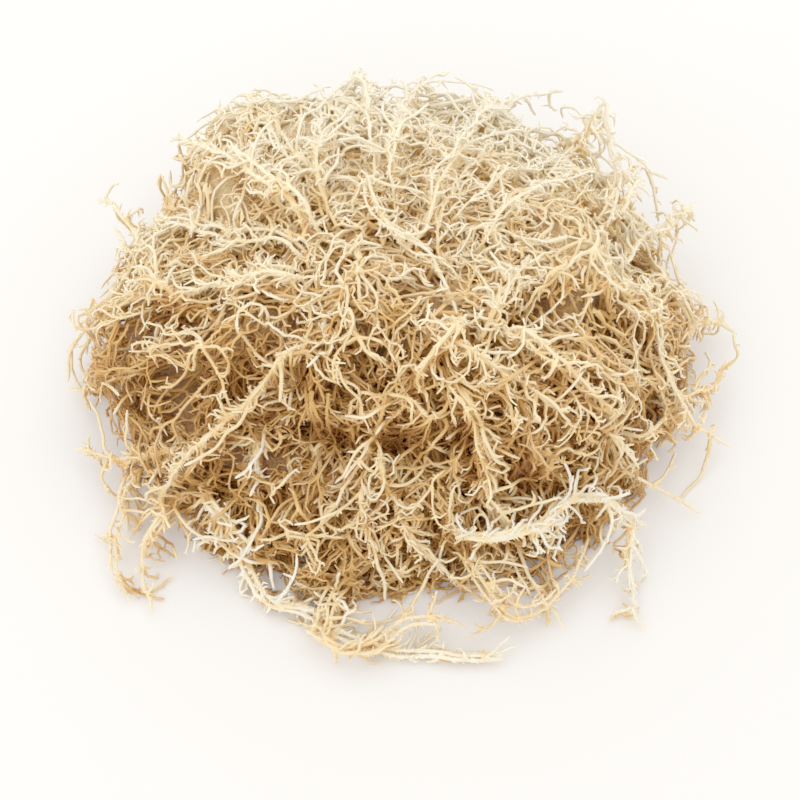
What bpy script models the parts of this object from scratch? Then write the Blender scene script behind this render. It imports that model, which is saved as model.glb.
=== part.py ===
"""Dried gracilaria seaweed at its real size: a loose, tangled heap of bleached fronds, on a flat surface.

The middle of the heap is one matted tangle. Around and over it lie single fronds, each an axis with side
branches. Every strand grows in short steps and keeps clear of what already lies there, as the dry strands do.
Lengths are in millimetres up to the last step, which makes the meshes in metres.
"""

import math
import random

import bpy
import numpy as np
from mathutils import Matrix, Vector, noise
from mathutils.bvhtree import BVHTree

METRES = 0.001
UP = np.array((0.0, 0.0, 1.0))

# The heap's outer surface, before its lumps: a dome, steeper at the back than at the front
HEAP_HEIGHT = 92.0
OUTLINE_RADIUS = 114.0
OUTLINE_DEEPER_BACK = 15.0
OUTLINE_WIDER_SIDES = 3.0
SHOULDER_POWER = 2.35
SHOULDER_BACK_GAIN = 0.55
LUMP_SHARE = 0.16
LUMP_SIZE = 1.7
# High and low places of that surface: direction from the middle of the foot, width, and share of the height
SWELLS = (
    ((-0.30, -0.70, 0.62), 0.42, -0.17),
    ((0.42, -0.70, 0.42), 0.30, -0.13),
    ((0.10, -0.25, 0.95), 0.35, 0.05),
    ((-0.55, 0.60, 0.55), 0.45, 0.05),
    ((0.60, 0.55, 0.60), 0.30, -0.06),
)

# The dense middle that the strands stand out of, and the flat spot under it that the heap rests on
CORE_LEVEL = 0.64
CORE_ROUGHNESS = 0.09
CORE_AROUND = 22
CORE_UP = 8
CORE_HIGHEST_RING = math.radians(77)
FOOT_SHARE = 0.62

# Strands are three-sided. Their radii run out to the corners, and shrink to TIP_SHARE at the tip
SIDES = 3
AXIS_RADIUS = 1.75
BRANCH_RADIUS = 1.2
TANGLE_RADIUS = 1.35
TIP_SHARE = 0.55
AXIS_STEP = 10.5
BRANCH_STEP = 8.0
TANGLE_STEP = 12.0
# A band is a short stretch of a strand, whose faces carry a branch or spines
BAND_HALF = 0.8
# Spines: the share of the places for them that have one, their lengths, and how far they lean to the tip
SPINE_SHARE = 0.8
AXIS_SPINES = (2.4, 5.0)
BRANCH_SPINES = (1.8, 3.6)
SPINE_LEAN = (0.3, 1.0)
SPINE_RADIUS = 0.3
# The inner share of a spine, which may touch its neighbours on the same strand
SPINE_ROOT = 0.4

# The gaps that strands keep to each other and to the surface under the heap
CLEAR_GAP = 0.45
FLOOR_GAP = 0.4
# How a route is lifted clear: rounds at most, a little more than needed each time, and no more than this
LIFTING_ROUNDS = 120
SPARE_LIFT = 0.1
LONGEST_LIFT = 2.0
# How far an axis sways to its sides along its route, how long its waves are, and their seed
SWAY = 3.2
SWAY_LENGTH = 17.0
SWAY_SEED = 5
# Ways past an obstacle for a growing strand: how far it turns aside, in radians, and how far it rises
DODGES = ((0, 0), (0.45, 0), (-0.45, 0), (0, 0.6), (0.9, 0.2), (-0.9, 0.2), (0, -0.5), (0, 1.3))
# How strongly a strand is drawn to its level, and how strongly it turns to run along it
LEVEL_PULL = 0.9
LEVEL_HOLD = 0.6
# Nothing grows further out than this from the middle, or above this level
REACH = 145.0
CEILING = 1.10

TANGLE_STRANDS = 112
TANGLE_SLOPES = (0.12, 0.98)
TANGLE_LENGTH = (80.0, 140.0)
TANGLE_LEVELS = (0.80, 1.0)
TANGLE_CURL = 0.62
TANGLE_BANDS = (0.4, 0.75)
TANGLE_SEED = 11
GOLDEN_ANGLE = math.radians(137.5)

BRANCH_LENGTH = (14.0, 34.0)
BRANCH_CURL = 0.5
BRANCH_LEAN = (0.3, 0.9)
BRANCH_RISE = 0.2
FROND_SEED = 29
# The share of a frond's axis, from its root, that is bare, and the share of its bands that carry a branch
BARE_SHARE = 0.3
BRANCHED_SHARE = 0.52

STRAW = (0.84, 0.71, 0.46, 1.0)
CREAM = (0.93, 0.85, 0.66, 1.0)
STRAND_ROUGHNESS = 0.75

# The axis of each frond that shows by itself, as the points that it passes through, from its root to its tip
FROND_ROUTES = {
    "left_edge_arch": [(-97, 24, 48), (-120, 28, 40), (-137, 18, 26), (-142, 4, 12)],
    "left_mid": [(-97, -18, 42), (-119, 3, 27), (-131, 7, 15), (-134, 0, 9), (-143, 3, 6)],
    "left_low": [(-92, -41, 36), (-116, -39, 20), (-138, -28, 8)],
    "left_hang": [(-96, -37, 26), (-112, -50, 19), (-116, -74, 10), (-113, -97, 4)],
    "left_hang_fork": [(-94, -59, 24), (-106, -78, 11), (-101, -101, 4)],
    "top_left_fan": [(-89, 10, 62), (-106, 45, 54), (-122, 68, 44), (-131, 79, 36)],
    "top_left_crest": [(-44, 35, 98), (-72, 72, 80), (-94, 98, 54), (-102, 103, 44)],
    "crest_loop": [(-3, 60, 98), (3, 104, 72), (10, 126, 56), (16, 124, 46)],
    "back_crest": [(-33, 45, 100), (-34, 90, 80), (-22, 122, 60), (-16, 137, 50)],
    "top_right_arch": [(12, 32, 102), (32, 83, 84), (56, 118, 60), (72, 127, 46)],
    "top_right_fall": [(84, 112, 54), (90, 94, 60), (88, 60, 66), (85, 30, 60)],
    "right_fin": [(84, 52, 68), (100, 84, 54), (115, 91, 38)],
    "right_far": [(92, 37, 58), (113, 64, 42), (130, 88, 22)],
    "right_rim": [(112, 6, 36), (133, 30, 20), (146, 30, 6)],
    "right_up_sprig": [(100, -33, 32), (116, -16, 27), (135, 0, 18), (142, 14, 12)],
    "right_edge_arch": [(88, 17, 60), (105, 5, 52), (115, -20, 30), (130, -24, 16), (139, -28, 9)],
    "centre_knot": [(-14, 48, 99), (-6, 27, 100), (12, 12, 100), (23, -12, 97)],
    "centre_loop": [(33, -20, 96), (42, 2, 97), (59, 18, 88), (66, 12, 82), (50, 2, 84)],
    "centre_right_sweep": [(15, -26, 96), (37, -33, 88), (65, -42, 66), (91, -40, 40), (97, -46, 28)],
    "centre_star": [(22, -16, 96), (10, -31, 88), (0, -45, 70), (-14, -54, 52), (-33, -72, 30)],
    "front_fall": [(28, -38, 84), (33, -56, 62), (41, -70, 44), (50, -82, 30)],
    "front_middle": [(-8, -56, 58), (0, -72, 40), (14, -86, 22), (35, -97, 8)],
    "front_tassel": [(-16, -66, 44), (-13, -80, 28), (-4, -98, 10)],
    "right_sprig": [(26, -86, 24), (48, -95, 14), (61, -88, 12), (76, -72, 16)],
    "right_arm": [(23, -80, 36), (49, -80, 38), (73, -65, 36), (95, -68, 22), (95, -90, 8), (100, -109, 4)],
    "front_curl": [(-31, -114, 13), (-9, -116, 12), (0, -111, 17), (10, -110, 20), (27, -109, 9)],
    "front_left_drop": [(-19, 1, 90), (-43, -25, 66), (-56, -36, 48), (-57, -64, 27), (-52, -94, 10)],
    "front_trail": [(-79, -56, 24), (-49, -86, 12), (-26, -108, 7), (3, -119, 6), (46, -119, 6)],
}
# Fronds that hang down from the crown, by a rule: the direction in which each falls, in degrees, and how far
# out its tip lies
DRAPED_FRONDS = {
    "left_front_fall": (211.0, 132.0),
    "front_right_fall": (301.0, 126.0),
    "right_front_fall": (336.0, 138.0),
    "left_side_fall": (171.0, 139.0),
    "left_back_fall": (150.0, 142.0),
    "back_left_fall": (121.0, 136.0),
    "back_middle_fall": (97.0, 137.0),
    "back_right_fall": (72.0, 139.0),
    "right_back_fall": (46.0, 140.0),
}
# The slopes at which such a frond passes its points on the heap's surface, from the crown down
DRAPED_SLOPES = (1.9, 0.95, 0.5, 0.22)
DRAPED_LEVEL = 1.04
DRAPED_TIP_HEIGHT = 4.0


def unit(vector):
    return vector / max(float(np.linalg.norm(vector)), 1e-9)


def turned(vector, axis, angle):
    """The vector turned about the axis by an angle in radians."""
    return np.array(Matrix.Rotation(angle, 3, Vector(axis)) @ Vector(vector))


def outline_radius(angle):
    return OUTLINE_RADIUS + OUTLINE_DEEPER_BACK * math.sin(angle) + OUTLINE_WIDER_SIDES * math.cos(2 * angle)


def lumps(direction):
    """How far the heap's surface stands out or in, in this direction, as a share."""
    share = LUMP_SHARE * noise.noise(Vector(direction) * LUMP_SIZE)
    for towards, width, height in SWELLS:
        apart = float(np.linalg.norm(direction - unit(np.array(towards))))
        share += height * math.exp(-((apart / width) ** 2))
    return 1 + share


def level(point):
    """0 at the middle of the foot, 1 on the heap's outer surface, and in proportion between and beyond."""
    angle = math.atan2(point[1], point[0])
    power = SHOULDER_POWER + SHOULDER_BACK_GAIN * math.sin(angle)
    outline, height = outline_radius(angle), HEAP_HEIGHT
    across = math.hypot(point[0], point[1]) / outline
    up = max(point[2], 0.0) / height
    dome = (across**power + up**power) ** (1 / power)
    squashed = np.array((point[0] / outline, point[1] / outline, max(point[2], 0.0) / height))
    return dome / lumps(unit(squashed))


def outward(point):
    """The direction in which the level rises fastest."""
    here = level(point)
    slope = np.array([level(point + 0.5 * axis) - here for axis in np.eye(3)])
    return unit(slope)


def at_level(direction, wanted):
    """The point in this direction from the middle of the foot that has the wanted level."""
    return direction * (wanted / level(direction))


class Heap:
    """What lies in the heap so far, its core and pieces of strand, so that the next strand can keep clear."""

    def __init__(self, core, room=9000):
        self.core = core
        self.core_tree = BVHTree.FromPolygons([Vector(vertex) for vertex in core[0]], core[1])
        self.starts = np.zeros((room, 3))
        self.ends = np.zeros((room, 3))
        self.radii = np.zeros(room)
        self.strands = np.zeros(room, int)
        self.count = 0
        self.last_strand = 0

    def new_strand(self):
        self.last_strand += 1
        return self.last_strand

    def add(self, start, end, radius, strand):
        self.starts[self.count] = start
        self.ends[self.count] = end
        self.radii[self.count] = radius
        self.strands[self.count] = strand
        self.count += 1

    def gap_to_strands(self, start, end, radius, family=(), newest=0):
        """The smallest gap between a piece from start to end and the strands, and the way out of it.

        The strands of its family don't count, and nor do the newest pieces.
        """
        used = slice(0, self.count - newest)
        kept = ~np.isin(self.strands[used], family)
        if not kept.any():
            return math.inf, UP
        starts, ends = self.starts[used][kept], self.ends[used][kept]
        along, others, between = end - start, ends - starts, start - starts
        a = along @ along + 1e-12
        e = (others * others).sum(1) + 1e-12
        b, c, f = others @ along, between @ along, (others * between).sum(1)
        s = np.clip((b * f - c * e) / np.maximum(a * e - b * b, 1e-9), 0, 1)
        t = np.clip((b * s + f) / e, 0, 1)
        s = np.clip((b * t - c) / a, 0, 1)
        apart = between + s[:, None] * along - t[:, None] * others
        gaps = np.linalg.norm(apart, axis=1) - radius - self.radii[used][kept]
        nearest = int(gaps.argmin())
        return float(gaps[nearest]), apart[nearest]

    def gap_to_core(self, start, end, radius, rooted=False):
        """The smallest gap between a piece and the core, and the way out. A rooted one is tested later on."""
        smallest, way_out = math.inf, UP
        for share in (0.5, 0.75, 1.0) if rooted else (0.0, 0.25, 0.5, 0.75, 1.0):
            point = Vector(start * (1 - share) + end * share)
            nearest, normal, _, distance = self.core_tree.find_nearest(point)
            gap = (distance if (point - nearest).dot(normal) > 0 else -distance) - radius
            if gap < smallest:
                smallest, way_out = gap, np.array(normal)
        return smallest, way_out

    def core_under(self, direction):
        """The core's surface in this direction from the foot's middle: the place, its normal and its face."""
        place, normal, face, _ = self.core_tree.ray_cast(Vector(direction) * 300, -Vector(direction))
        return np.array(place), np.array(normal), face


def smooth_route(route, spacing):
    """Points about the spacing apart on a smooth curve through the route's points."""
    ends = [2 * np.array(route[0], float) - route[1], 2 * np.array(route[-1], float) - route[-2]]
    knots = [ends[0], *(np.array(point, float) for point in route), ends[1]]
    points = []
    for before, start, end, after in zip(knots, knots[1:], knots[2:], knots[3:]):
        pieces = max(1, round(float(np.linalg.norm(end - start)) / spacing))
        for i in range(pieces):
            t = i / pieces
            bend = 2 * before - 5 * start + 4 * end - after
            twist = 3 * start - before - 3 * end + after
            points.append(0.5 * (2 * start + (end - before) * t + bend * t**2 + twist * t**3))
    return [*points, knots[-2]]


def lifted_clear(points, radius, heap):
    """The same line of points, bent over whatever it runs into, and ended where that can't be done."""
    points = np.array(points)
    for _ in range(LIFTING_ROUNDS):
        push = np.zeros_like(points)
        for i, (start, end) in enumerate(zip(points, points[1:])):
            over = outward((start + end) / 2)
            for gap_to in (heap.gap_to_core, heap.gap_to_strands):
                gap, way_out = gap_to(start, end, radius)
                if gap < CLEAR_GAP:
                    lift = min(CLEAR_GAP - gap + SPARE_LIFT, LONGEST_LIFT)
                    move = unit(over + 0.6 * unit(way_out)) * lift / 2
                    push[i] += move
                    push[i + 1] += move
        if not push.any():
            break
        push[1:] += push[:-1] / 3
        push[:-1] += push[1:] / 3
        points = points + push
        points[:, 2] = np.maximum(points[:, 2], radius + FLOOR_GAP)
    for i, (start, end) in enumerate(zip(points, points[1:])):
        gaps = (heap.gap_to_core(start, end, radius)[0], heap.gap_to_strands(start, end, radius)[0])
        if min(gaps) < CLEAR_GAP:
            return list(points[: i + 1])
    return list(points)


def tapered(count, radius):
    return [radius * (1 - (1 - TIP_SHARE) * i / max(count - 1, 1)) for i in range(count)]


def next_point(point, heading, stride, radius, ceiling, heap, family):
    """Where a strand's next piece can end, as near to its heading as there is room, or None.

    The family is the strands that a first piece grows out of or beside, and None for a later piece.
    """
    normal = outward(point)
    for aside, rise in DODGES:
        end = point + unit(turned(heading, normal, aside) + rise * normal) * stride
        end[2] = max(end[2], radius + FLOOR_GAP)
        if math.hypot(end[0], end[1]) > REACH or level(end) > ceiling:
            continue
        if heap.gap_to_core(point, end, radius, family is not None)[0] < CLEAR_GAP:
            continue
        relatives, newest = ((), 1) if family is None else (family, 0)
        if heap.gap_to_strands(point, end, radius, relatives, newest)[0] >= CLEAR_GAP:
            return end
    return None


def grow(start, heading, length, radius, step, wanted, curl, heap, rng, family=()):
    """A strand's points, and its number. It wanders at the wanted level, or freely if that is None."""
    points, heading, travelled = [start], unit(heading), 0.0
    bend = unit(np.array([rng.gauss(0, 1) for _ in range(3)]))
    ceiling = max(CEILING, level(start) + 0.05)
    strand, first = heap.new_strand(), heap.count
    while travelled < length:
        point, stride = points[-1], step * rng.uniform(0.85, 1.15)
        bend = unit(bend + 0.7 * np.array([rng.gauss(0, 1) for _ in range(3)]))
        heading = turned(heading, bend, curl * rng.uniform(0.4, 1.0))
        if wanted is not None and len(points) > 1:
            off = max(-1.0, min(1.0, (wanted - level(point)) * HEAP_HEIGHT / step))
            normal = outward(point)
            heading = heading + normal * (LEVEL_PULL * off - LEVEL_HOLD * float(heading @ normal))
        relatives = family if len(points) == 1 else None
        end = next_point(point, unit(heading), stride, radius, ceiling, heap, relatives)
        if end is None:
            break
        heap.add(point, end, radius, strand)
        heading = unit(end - point)
        travelled += float(np.linalg.norm(end - point))
        points.append(end)
    if len(points) < 3:
        heap.count = first
    return points, strand


class Body:
    """The one closed mesh of a node, in triangles. What grows out of it replaces one of its faces."""

    def __init__(self, shape=((), ())):
        self.vertices = list(shape[0])
        self.faces = list(shape[1])

    def middle(self, face):
        """A face's middle and its normal."""
        a, b, c = (self.vertices[i] for i in self.faces[face])
        return (a + b + c) / 3, unit(np.cross(b - a, c - a))

    def add_ring(self, centre, side, other, radius):
        angles = [2 * math.pi * k / SIDES for k in range(SIDES)]
        ways = [math.cos(angle) * side + math.sin(angle) * other for angle in angles]
        self.vertices += [centre + radius * way for way in ways]
        return list(range(len(self.vertices) - SIDES, len(self.vertices)))

    def join(self, near, far):
        """Faces between two rings. Returns the numbers of the two faces on each side."""
        first = len(self.faces)
        for k in range(SIDES):
            after = (k + 1) % SIDES
            self.faces += [(near[k], near[after], far[after]), (near[k], far[after], far[k])]
        return [(first + 2 * k, first + 2 * k + 1) for k in range(SIDES)]

    def raise_point(self, face, tip):
        """A spine: the face becomes three that meet at the tip."""
        a, b, c = self.faces[face]
        self.vertices.append(tip)
        top = len(self.vertices) - 1
        self.faces[face] = (a, b, top)
        self.faces += [(b, c, top), (c, a, top)]

    def inset(self, face, centre, radius):
        """A small three-sided root in a large face."""
        outer = self.faces[face]
        ways = [unit(self.vertices[i] - centre) for i in outer]
        self.vertices += [centre + radius * way for way in ways]
        inner = list(range(len(self.vertices) - SIDES, len(self.vertices)))
        self.join(outer, inner)
        self.faces[face] = tuple(inner)

    def add_strand(self, points, radii, face=None, banded=()):
        """A strand that grows out of a face, or starts with an end of its own. Returns its bands' faces."""
        along = unit(points[1] - points[0])
        if face is None:
            side = unit(np.cross(along, UP + 0.01))
            last = self.add_ring(points[0], side, np.cross(along, side), radii[0])
            self.faces.append(tuple(reversed(last)))
        else:
            last = list(self.faces[face])
            side = self.vertices[last[0]] - self.middle(face)[0]
            self.faces[face] = None
        bands = {}
        for i in range(1, len(points) - 1):
            along = unit(unit(points[i + 1] - points[i]) + unit(points[i] - points[i - 1]))
            side = unit(side - along * float(side @ along))
            half = along * radii[i] * BAND_HALF if i in banded else 0.0
            ring = self.add_ring(points[i] - half, side, np.cross(along, side), radii[i])
            self.join(last, ring)
            if i in banded:
                near, ring = ring, self.add_ring(points[i] + half, side, np.cross(along, side), radii[i])
                bands[i] = self.join(near, ring)
            last = ring
        self.vertices.append(points[-1])
        top = len(self.vertices) - 1
        self.faces += [(last[k], last[(k + 1) % SIDES], top) for k in range(SIDES)]
        return bands

    def shape(self):
        return self.vertices, [face for face in self.faces if face]


def add_spine(body, face, along, lengths, heap, rng, family):
    """A short pointed branchlet on a face, slanting towards the tip, where there is room for it."""
    root, normal = body.middle(face)
    tip = root + unit(normal + rng.uniform(*SPINE_LEAN) * along) * rng.uniform(*lengths)
    outer = root * (1 - SPINE_ROOT) + tip * SPINE_ROOT
    if tip[2] < SPINE_RADIUS + FLOOR_GAP or math.hypot(tip[0], tip[1]) > REACH:
        return
    if heap.gap_to_core(outer, tip, SPINE_RADIUS)[0] < CLEAR_GAP:
        return
    if heap.gap_to_strands(outer, tip, SPINE_RADIUS, family)[0] < CLEAR_GAP:
        return
    strand = heap.new_strand()
    heap.add(outer, tip, SPINE_RADIUS, strand)
    family.append(strand)
    body.raise_point(face, tip)


def add_spines(body, points, bands, heap, rng, strand):
    """Spines on each side of a strand's bands."""
    for i, band in bands.items():
        family, along = [strand], unit(points[i + 1] - points[i - 1])
        for faces in band:
            if rng.random() < SPINE_SHARE:
                add_spine(body, faces[rng.randrange(2)], along, BRANCH_SPINES, heap, rng, family)


def add_branch(body, face, along, heap, rng, family):
    """A wavy side branch on a face, with spines about its middle. Returns whether there was room for it."""
    root, normal = body.middle(face)
    heading = normal + rng.uniform(*BRANCH_LEAN) * along + BRANCH_RISE * outward(root)
    length = rng.uniform(*BRANCH_LENGTH)
    sizes = (length, BRANCH_RADIUS, BRANCH_STEP, None, BRANCH_CURL)
    points, strand = grow(root, heading, *sizes, heap, rng, family)
    if len(points) < 3:
        return False
    family.append(strand)
    bands = body.add_strand(points, tapered(len(points), BRANCH_RADIUS), face, [len(points) // 2])
    add_spines(body, points, bands, heap, rng, strand)
    return True


def frond_axis(route, heap):
    """The axis of a frond, from the core and clear of what it lies on: its points and its strand's number."""
    place, normal, _ = heap.core_under(unit(np.array(route[0], float)))
    root, *swayed = smooth_route([place + normal * (AXIS_RADIUS + CLEAR_GAP + SPARE_LIFT), *route], AXIS_STEP)
    swayed = [point + SWAY * np.array(noise.noise_vector(Vector(point) / SWAY_LENGTH)) for point in swayed]
    points = lifted_clear([root, *swayed], AXIS_RADIUS, heap)
    strand = heap.new_strand()
    for start, end in zip(points, points[1:]):
        heap.add(start, end, AXIS_RADIUS, strand)
    return points, strand


def frond(points, strand, heap, rng):
    """A frond: its axis, with spines all round it and a branch at most of its bands."""
    body = Body()
    first_band = max(1, round(len(points) * BARE_SHARE))
    banded = range(first_band, len(points) - 1)
    bands = body.add_strand(points, tapered(len(points), AXIS_RADIUS), banded=banded)
    for i, band in bands.items():
        family, along, over = [strand], unit(points[i + 1] - points[i - 1]), outward(points[i])
        sides = sorted(band, key=lambda faces: rng.random() - float(body.middle(faces[0])[1] @ over))
        branching = rng.random() < BRANCHED_SHARE
        for faces in sides:
            face = faces[rng.randrange(2)]
            if branching and add_branch(body, face, along, heap, rng, family):
                branching = False
            elif rng.random() < SPINE_SHARE:
                add_spine(body, face, along, AXIS_SPINES, heap, rng, family)
    return body.shape()


def draped_route(degrees, reach):
    """A frond's route from the crown of the heap down to the surface beside it."""
    angle = math.radians(degrees)
    away = np.array((math.cos(angle), math.sin(angle), 0.0))
    route = [at_level(unit(away + slope * UP), DRAPED_LEVEL) for slope in DRAPED_SLOPES]
    return [*route, away * reach + UP * DRAPED_TIP_HEIGHT]


def core_shape():
    """The rough, dense middle of the heap, with a flat foot."""
    rng = random.Random(TANGLE_SEED)
    vertices, faces = [], []
    for i in range(CORE_UP):
        rise = CORE_HIGHEST_RING * i / (CORE_UP - 1)
        for k in range(CORE_AROUND):
            angle = 2 * math.pi * (k + 0.5 * (i % 2)) / CORE_AROUND
            around = np.array((math.cos(angle), math.sin(angle), 0.0))
            rough = 1 + CORE_ROUGHNESS * rng.uniform(-1, 1)
            share = FOOT_SHARE if i == 0 else rough
            point = at_level(around * math.cos(rise) + UP * math.sin(rise), CORE_LEVEL * share)
            if i == 0:
                point[2] = 0.0
            vertices.append(point)
    vertices.append(at_level(UP, CORE_LEVEL))
    for i in range(CORE_UP - 1):
        for k in range(CORE_AROUND):
            near, far = i * CORE_AROUND + k, i * CORE_AROUND + (k + 1) % CORE_AROUND
            if i % 2 == 0:
                faces += [(near, far, near + CORE_AROUND), (far, far + CORE_AROUND, near + CORE_AROUND)]
            else:
                faces += [(near, far, far + CORE_AROUND), (near, far + CORE_AROUND, near + CORE_AROUND)]
    last = (CORE_UP - 1) * CORE_AROUND
    faces += [(last + k, last + (k + 1) % CORE_AROUND, len(vertices) - 1) for k in range(CORE_AROUND)]
    vertices.append(np.zeros(3))
    faces += [((k + 1) % CORE_AROUND, k, len(vertices) - 1) for k in range(CORE_AROUND)]
    return vertices, faces


def tangle(heap):
    """The matted middle of the heap: strands that grow out of the core, spread evenly over it."""
    rng, body, used = random.Random(TANGLE_SEED), Body(heap.core), set()
    lowest, highest = TANGLE_SLOPES
    for i in range(TANGLE_STRANDS):
        up = lowest + (highest - lowest) * (i + 0.5) / TANGLE_STRANDS
        across, angle = math.sqrt(1 - up * up), i * GOLDEN_ANGLE
        _, normal, face = heap.core_under(np.array((across * math.cos(angle), across * math.sin(angle), up)))
        if face in used:
            continue
        root, _ = body.middle(face)
        heading = normal + 0.7 * unit(np.cross(normal, [rng.gauss(0, 1) for _ in range(3)]))
        length, wanted = rng.uniform(*TANGLE_LENGTH), rng.uniform(*TANGLE_LEVELS)
        sizes = (length, TANGLE_RADIUS, TANGLE_STEP, wanted, TANGLE_CURL)
        points, strand = grow(root, heading, *sizes, heap, rng)
        if len(points) < 3:
            continue
        used.add(face)
        body.inset(face, root, TANGLE_RADIUS)
        banded = {round(len(points) * share) for share in TANGLE_BANDS}
        bands = body.add_strand(points, tapered(len(points), TANGLE_RADIUS), face, banded)
        add_spines(body, points, bands, heap, rng, strand)
    return body.shape()


def material(name, colour):
    made = bpy.data.materials.new(name)
    made.use_nodes = True
    made.diffuse_color = colour
    surface = made.node_tree.nodes["Principled BSDF"]
    surface.inputs["Base Color"].default_value = colour
    surface.inputs["Roughness"].default_value = STRAND_ROUGHNESS
    surface.inputs["Metallic"].default_value = 0.0
    return made


def mesh_object(name, shape, shift, look):
    vertices, faces = shape
    mesh = bpy.data.meshes.new(name)
    mesh.from_pydata([tuple((vertex + shift) * METRES) for vertex in vertices], [], faces)
    mesh.materials.append(look)
    made = bpy.data.objects.new(name, mesh)
    bpy.context.scene.collection.objects.link(made)


def build():
    for old in list(bpy.data.objects):
        bpy.data.objects.remove(old)
    noise.seed_set(SWAY_SEED)
    heap, rng = Heap(core_shape()), random.Random(FROND_SEED)
    routes = {name: draped_route(*places) for name, places in DRAPED_FRONDS.items()} | FROND_ROUTES
    axes = {name: frond_axis(route, heap) for name, route in routes.items()}
    shapes = {"matted_tangle": tangle(heap)}
    for name, (points, strand) in axes.items():
        shapes["frond_" + name] = frond(points, strand, heap, rng)
    corners = np.array([vertex for vertices, _ in shapes.values() for vertex in vertices])
    shift = -(corners.min(0) + corners.max(0)) / 2 * (1, 1, 0)
    straw, cream = material("straw", STRAW), material("cream", CREAM)
    for name, shape in shapes.items():
        mesh_object(name, shape, shift, straw if name == "matted_tangle" else cream)


build()
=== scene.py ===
"""The looks of a heap of dried, bleached gracilaria: fine, wavy, forked strands with short spines.

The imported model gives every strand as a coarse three-sided rod. This script reads the rods' centre lines
back, draws each as a fine strand, and grows the finer forks, twigs and spines that the rods leave out.
Lengths are in millimetres, measured from the middle of the heap's foot.
"""

import math

import bmesh
import bpy
import numpy as np
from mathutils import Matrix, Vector, noise


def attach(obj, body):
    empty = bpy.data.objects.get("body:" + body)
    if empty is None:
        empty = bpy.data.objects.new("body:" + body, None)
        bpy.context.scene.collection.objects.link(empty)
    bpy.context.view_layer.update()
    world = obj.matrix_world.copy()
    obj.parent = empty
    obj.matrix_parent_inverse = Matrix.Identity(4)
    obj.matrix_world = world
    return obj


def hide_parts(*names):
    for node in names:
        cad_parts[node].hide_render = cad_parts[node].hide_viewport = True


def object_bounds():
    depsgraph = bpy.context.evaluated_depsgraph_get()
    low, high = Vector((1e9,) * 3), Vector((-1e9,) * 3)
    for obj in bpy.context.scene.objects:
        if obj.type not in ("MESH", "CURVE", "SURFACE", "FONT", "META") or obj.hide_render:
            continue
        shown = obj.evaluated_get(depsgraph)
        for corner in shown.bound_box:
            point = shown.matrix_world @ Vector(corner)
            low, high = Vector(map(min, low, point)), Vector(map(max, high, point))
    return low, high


METRES = 0.001
UP = np.array((0.0, 0.0, 1.0))
# Where the middle of the heap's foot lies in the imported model
FOOT_MIDDLE = np.array((-1.094, -9.816, 0.0))
# The seed of the smooth noise that neighbouring strands share
NOISE_SEED = 3
# How far apart in that noise the places of different strands lie
NOISE_REACH = 99.0

# The heap's outer surface: a dome, steeper at the back than at the front, with lumps and smaller tufts
HEAP_HEIGHT = 92.0
OUTLINE_RADIUS = 114.0
OUTLINE_DEEPER_BACK = 15.0
OUTLINE_WIDER_SIDES = 3.0
SHOULDER_POWER = 2.35
SHOULDER_BACK_GAIN = 0.55
LUMP_SHARE = 0.16
LUMP_SIZE = 1.7
TUFT_SHARE = 0.10
TUFT_SIZE = 5.0
# High and low places of that surface: direction from the middle of the foot, width, and share of the
# height
SWELLS = (
    ((-0.30, -0.70, 0.62), 0.42, -0.17),
    ((0.42, -0.70, 0.42), 0.30, -0.13),
    ((0.10, -0.25, 0.95), 0.35, 0.05),
    ((-0.55, 0.60, 0.55), 0.45, 0.05),
    ((0.60, 0.55, 0.60), 0.30, -0.06),
    ((0.97, 0.00, 0.20), 0.50, 0.07),
    ((-0.97, 0.05, 0.20), 0.45, 0.05),
)
# Hollows between the strands, in the same form
HOLLOWS = (
    ((-0.05, -0.66, 0.75), 0.16, -0.22),
    ((0.30, -0.60, 0.74), 0.12, -0.16),
    ((-0.36, -0.62, 0.66), 0.12, -0.12),
    ((-0.78, -0.20, 0.58), 0.13, -0.16),
    ((0.54, -0.83, 0.16), 0.12, -0.15),
    ((-0.40, 0.22, 0.89), 0.07, -0.12),
    ((0.44, -0.09, 0.90), 0.10, -0.12),
    ((-0.47, -0.29, 0.83), 0.12, -0.10),
    ((-0.65, -0.45, 0.61), 0.15, -0.17),
    ((-0.62, -0.70, 0.35), 0.14, -0.16),
    ((-0.78, -0.56, 0.27), 0.12, -0.14),
    ((-0.68, -0.70, 0.18), 0.12, -0.08),
    ((-0.50, -0.86, 0.09), 0.16, -0.10),
    ((-0.28, -0.96, 0.07), 0.14, -0.07),
)
# How far the core, the middle of a strand, and anything else stay above the surface that the heap lies on
FLOOR_GAP = 0.5
LOWEST_STRAND = 1.3
LOWEST = 0.1
# How far inside the model's box the strands' middles stay
BOX_MARGIN = 0.6

# The waves of packed strands: how far they swing, how long they are, and how soon past the foot they
# begin
ROD_WAVE = 1.1
ROD_WAVE_SIZE = 9.0
ROD_WAVE_RISE = 4.0
# Packed rods have pairs of rings this close together, where branches leave them
BAND_LENGTH = 3.4
# How growing strands bend: how fast the direction of the bend changes, how long a full turn takes, and
# how much more they curl at their tips
BEND_CHANGE = 0.35
TURN_LENGTH = 2.5
TIP_CURL = 5.0
# The small random turns that make a strand crinkly, and the share of its points that has one
KINK = 0.40
KINK_SHARE = 0.22
# How long a strand's own waves are, and the size of the swirls in which neighbours sway alike
WAVE_LENGTHS = (12.0, 26.0)
FLOW_SIZE = 22.0
# How strands are drawn to their level and kept along it, how much their levels vary, and the highest that
# forks may reach, which is less on the sunny side
LEVEL_REACH = 9.0
LEVEL_PULL = 0.22
LEVEL_HOLD = 0.10
LEVEL_SPREAD = 0.02
LEVEL_ROOM = 0.02
HIGHEST_LEVEL = 1.06
LOWER_ON_TOP = 0.07
# How much a strand's tone differs from that of the strand that it leaves
TONE_SPREAD = 0.12
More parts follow.
